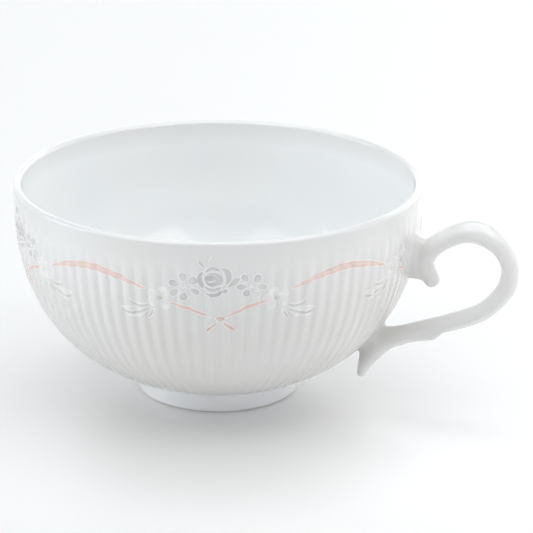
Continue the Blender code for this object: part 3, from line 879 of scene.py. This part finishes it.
def draw_leaves(patch, side):
    """White leaves with thin grey-green shade strokes, hanging outwards from the blossom."""

    def across(line):
        """The line as it is on this side."""
        return [(side * x, z, half) for x, z, half in line]

    patch.stroke(across([(16.4, 38.25, 0.12), (18.5, 38.0, 0.34), (20.5, 38.45, 0.34), (20.95, 39.2, 0.1)]),
                 LEAF, layer=0, edge=False)
    patch.stroke(across([(16.6, 37.3, 0.2), (18.8, 36.6, 0.5), (21.2, 36.3, 0.85), (23.2, 36.3, 0.5),
                         (23.7, 36.7, 0.15)]), LEAF, layer=0.5, edge=False)
    patch.stroke(across([(16.7, 36.3, 0.15), (18.6, 35.0, 0.4), (20.6, 34.5, 0.5), (22.6, 34.8, 0.15)]),
                 LEAF, layer=0, edge=False)
    patch.stroke(across([(15.1, 37.1, 0.25), (15.9, 35.75, 0.55), (16.75, 34.4, 0.22)]), LEAF,
                 layer=0.5, edge=False)
    patch.stroke(across([(16.5, 38.0, 0.05), (18.2, 37.62, 0.13), (19.64, 37.68, 0.12),
                         (20.6, 38.1, 0.09), (20.75, 38.8, 0.04)]), LEAF_SHADE, OLIVE, layer=1.5,
                 edge=False)
    patch.stroke(across([(16.8, 36.9, 0.05), (18.6, 36.0, 0.13), (20.6, 35.3, 0.27), (22.2, 35.35, 0.25),
                         (23.2, 35.8, 0.13), (23.4, 36.3, 0.04)]), LEAF_SHADE, GREY_PALE, layer=1.5,
                 edge=False)
    patch.stroke(across([(19.4, 36.55, 0.03), (20.8, 36.4, 0.08), (22.2, 36.5, 0.03)]),
                 lighter(LEAF_SHADE, 0.45), layer=1.5, edge=False)
    patch.stroke(across([(16.7, 36.1, 0.04), (17.5, 35.3, 0.12), (18.4, 34.7, 0.05)]),
                 lighter(LEAF_SHADE, 0.3), layer=1.5, edge=False)
    patch.stroke(across([(18.8, 34.42, 0.04), (20.3, 34.14, 0.1), (21.6, 34.05, 0.04)]),
                 lighter(LEAF_SHADE, 0.4), layer=1.5, edge=False)
    patch.stroke(across([(15.4, 36.85, 0.08), (15.9, 35.75, 0.27), (16.6, 34.7, 0.1)]), OLIVE, LEAF_SHADE,
                 layer=1.5, edge=False)


def draw_swag(patch):
    """The pink arch, thickest in the middle, with white edges."""
    half_arch = [(0.0, 45.13, 0.86), (2.2, 45.05, 0.85), (7.4, 44.1, 0.7), (11.7, 42.7, 0.4),
                 (13.95, 42.1, 0.06)]
    line = [(-x, z, half) for x, z, half in half_arch[:0:-1]] + half_arch
    patch.stroke(line, PINK)
    patch.stroke([(x, z + 0.1 * half, half * 0.45) for x, z, half in line[1:-1]], lighter(PINK, 0.18),
                 layer=2, edge=False)


def draw_ribbon_end(patch, side):
    """The short end of a bow that the handle cuts off."""
    patch.stroke([(side * 7.7, 38.3, 0.3), (side * 8.8, 38.75, 0.42), (side * 10.2, 39.1, 0.2)],
                 PINK_DEEP, PINK)


def build_print():
    """The five sprays with the swags between them. The last spray is trimmed to clear the handle."""
    grey = print_finish("grey_print", 0.3)
    pink = print_finish("pink_print", 0.28)
    white = print_finish("white_print", 0.25)
    for number in range(1, REPEATS + 1):
        bearing = FIRST_BEARING - (number - 1) * REPEAT_ANGLE
        tag = str(number)
        for side, word, flower in ((-1, "left", LEFT_FLOWER), (1, "right", RIGHT_FLOWER)):
            patch = Patch(bearing)
            if number == REPEATS:
                draw_trimmed_flower(patch, side)
            else:
                draw_flower(patch, *flower)
            node = "flower_" + word + "_" + tag
            patch.finish("print_" + node, grey, "transfer_grey", node)
            patch = Patch(bearing)
            draw_blossom(patch, side)
            node = "blossom_" + word + "_" + tag
            patch.finish("print_" + node, white, "transfer_white", node)
            patch = Patch(bearing)
            draw_leaves(patch, side)
            node = "leaf_" + word + "_" + tag
            patch.finish("print_" + node, white, "transfer_leaf", node)
        if number == REPEATS:
            for side, word in ((-1, "left"), (1, "right")):
                patch = Patch(bearing)
                draw_ribbon_end(patch, side)
                node = "ribbon_end_" + word + "_" + tag
                patch.finish("print_" + node, pink, "transfer_pink", node)
        else:
            patch = Patch(bearing)
            draw_rose(patch)
            patch.finish("print_rose_" + tag, grey, "transfer_grey", "rose_" + tag)
            patch = Patch(bearing)
            draw_bow(patch)
            patch.finish("print_ribbon_bow_" + tag, pink, "transfer_pink", "ribbon_bow_" + tag)
        patch = Patch(bearing + REPEAT_ANGLE / 2)
        draw_swag(patch)
        patch.finish("print_swag_" + tag, pink, "transfer_pink", "swag_" + tag)


# Stage


def build_camera():
    """The photograph's viewing angle."""
    data = bpy.data.cameras.new("camera")
    data.lens = CAMERA_LENS
    data.shift_x = CAMERA_SHIFT
    data.clip_start = CAMERA_NEAR
    made = bpy.data.objects.new("camera", data)
    made.location = (AXIS_X + CAMERA_DISTANCE * math.sin(CAMERA_TURN),
                     -CAMERA_DISTANCE * math.cos(CAMERA_TURN), CAMERA_HEIGHT)
    made.rotation_euler = (math.pi / 2 - CAMERA_PITCH, 0.0, CAMERA_TURN)
    bpy.context.scene.collection.objects.link(made)
    bpy.context.scene.camera = made


# Soft boxes: (name, angle from the camera's side, elevation, width, height, radiance, colour). The
# angles and sizes are in degrees, as seen from the cup
COOL = (0.955, 0.98, 1.0)
NEUTRAL = (1.0, 1.0, 1.0)
PANELS = (
    ("panel_left_far", -90, 17, 30, 31, 2.2, COOL),
    ("panel_left", -60, 17, 30, 31, 0.5, COOL),
    ("panel_right", 60, 17, 30, 31, 0.3, NEUTRAL),
    ("panel_right_far", 90, 17, 30, 31, 0.9, NEUTRAL),
    ("panel_left_high", -60, 48, 50, 28, 1.3, COOL),
    ("panel_right_high", 60, 48, 50, 28, 1.7, NEUTRAL),
    ("panel_back_left", -135, 20, 50, 36, 0.3, COOL),
    ("panel_back_right", 135, 20, 50, 36, 1.4, NEUTRAL),
    ("panel_back", 180, 20, 45, 36, 0.8, COOL),
    ("panel_top", 0, 89.9, 60, 60, 1.95, COOL),
)
PANEL_DISTANCE = 1.2
PANEL_TARGET = Vector((AXIS_X, 0.0, 0.04))
SURROUND_COLOUR = (0.97, 0.985, 1.0, 1.0)
HORIZON_STRENGTH = 0.9            # the pale surround near the floor
CEILING_STRENGTH = 0.12           # and higher up, where the soft boxes take over
HORIZON_TOP = 0.1                 # sine of the elevation where the surround starts to fade
CEILING_BOTTOM = 0.4              # and where it has faded
FLOOR_COLOUR = (0.93, 0.93, 0.93, 1.0)
FLOOR_METALLIC = 0.8
FLOOR_ROUGHNESS = 0.6
FLOOR_POINTS = 64
FLOOR_RADII = (0.1, 0.3, 0.6, 1.0)


def build_world():
    """A pale surround that is brightest at the horizon."""
    world = bpy.data.worlds.new("studio")
    world.use_nodes = True
    nodes = world.node_tree.nodes
    links = world.node_tree.links
    back = nodes["Background"]
    back.inputs["Color"].default_value = SURROUND_COLOUR
    direction = nodes.new("ShaderNodeTexCoord")
    split = nodes.new("ShaderNodeSeparateXYZ")
    fade = nodes.new("ShaderNodeMapRange")
    fade.inputs["From Min"].default_value = HORIZON_TOP
    fade.inputs["From Max"].default_value = CEILING_BOTTOM
    fade.inputs["To Min"].default_value = HORIZON_STRENGTH
    fade.inputs["To Max"].default_value = CEILING_STRENGTH
    links.new(direction.outputs["Generated"], split.inputs["Vector"])
    links.new(split.outputs["Z"], fade.inputs["Value"])
    links.new(fade.outputs["Result"], back.inputs["Strength"])
    bpy.context.scene.world = world


def build_panel(name, turn, elevation, wide, tall, radiance, colour):
    """A soft box that faces the cup."""
    angle = CAMERA_TURN + math.radians(turn)
    rise = math.radians(elevation)
    away = Vector((math.sin(angle) * math.cos(rise), -math.cos(angle) * math.cos(rise), math.sin(rise)))
    data = bpy.data.lights.new(name, "AREA")
    data.shape = "RECTANGLE"
    data.size = 2 * PANEL_DISTANCE * math.tan(math.radians(wide / 2))
    data.size_y = 2 * PANEL_DISTANCE * math.tan(math.radians(tall / 2))
    data.energy = radiance * math.pi * data.size * data.size_y
    data.color = colour
    made = bpy.data.objects.new(name, data)
    made.location = PANEL_TARGET + away * PANEL_DISTANCE
    made.rotation_euler = (-away).to_track_quat("-Z", "Y").to_euler()
    made.visible_camera = False
    bpy.context.scene.collection.objects.link(made)


def build_floor():
    """A pale round floor with a soft sheen."""
    floor_material, nodes, _ = new_material("floor")
    shader = nodes["Principled BSDF"]
    shader.inputs["Base Color"].default_value = FLOOR_COLOUR
    shader.inputs["Metallic"].default_value = FLOOR_METALLIC
    shader.inputs["Roughness"].default_value = FLOOR_ROUGHNESS
    verts = [(AXIS_X, 0.0, 0.0)]
    faces = [[0, 1 + i, 1 + (i + 1) % FLOOR_POINTS] for i in range(FLOOR_POINTS)]
    for index, radius in enumerate(FLOOR_RADII):
        verts += [tuple(place) for place in ring_of(FLOOR_POINTS, radius, 0.0)]
        start = 1 + index * FLOOR_POINTS
        if index:
            faces += bridge(FLOOR_POINTS, start - FLOOR_POINTS, FLOOR_POINTS, start)
    floor = add_mesh("floor", verts, faces, floor_material)


def build_stage():
    """Floor, surround and lights."""
    build_floor()
    build_world()
    for values in PANELS:
        build_panel(*values)
    bpy.context.scene.view_settings.view_transform = "Standard"


def main():
    """Makes everything."""
    porcelain = glaze("porcelain", *PORCELAIN_COLOURS, GLAZE_ROUGHNESS)
    foot_glaze = foot_finish("foot_glaze", *FOOT_COLOURS_WITH_PAINTED_LIGHT, GLAZE_ROUGHNESS)
    build_bowl(porcelain)
    build_foot(foot_glaze)
    build_handle(porcelain)
    build_print()
    build_camera()
    build_stage()


main()
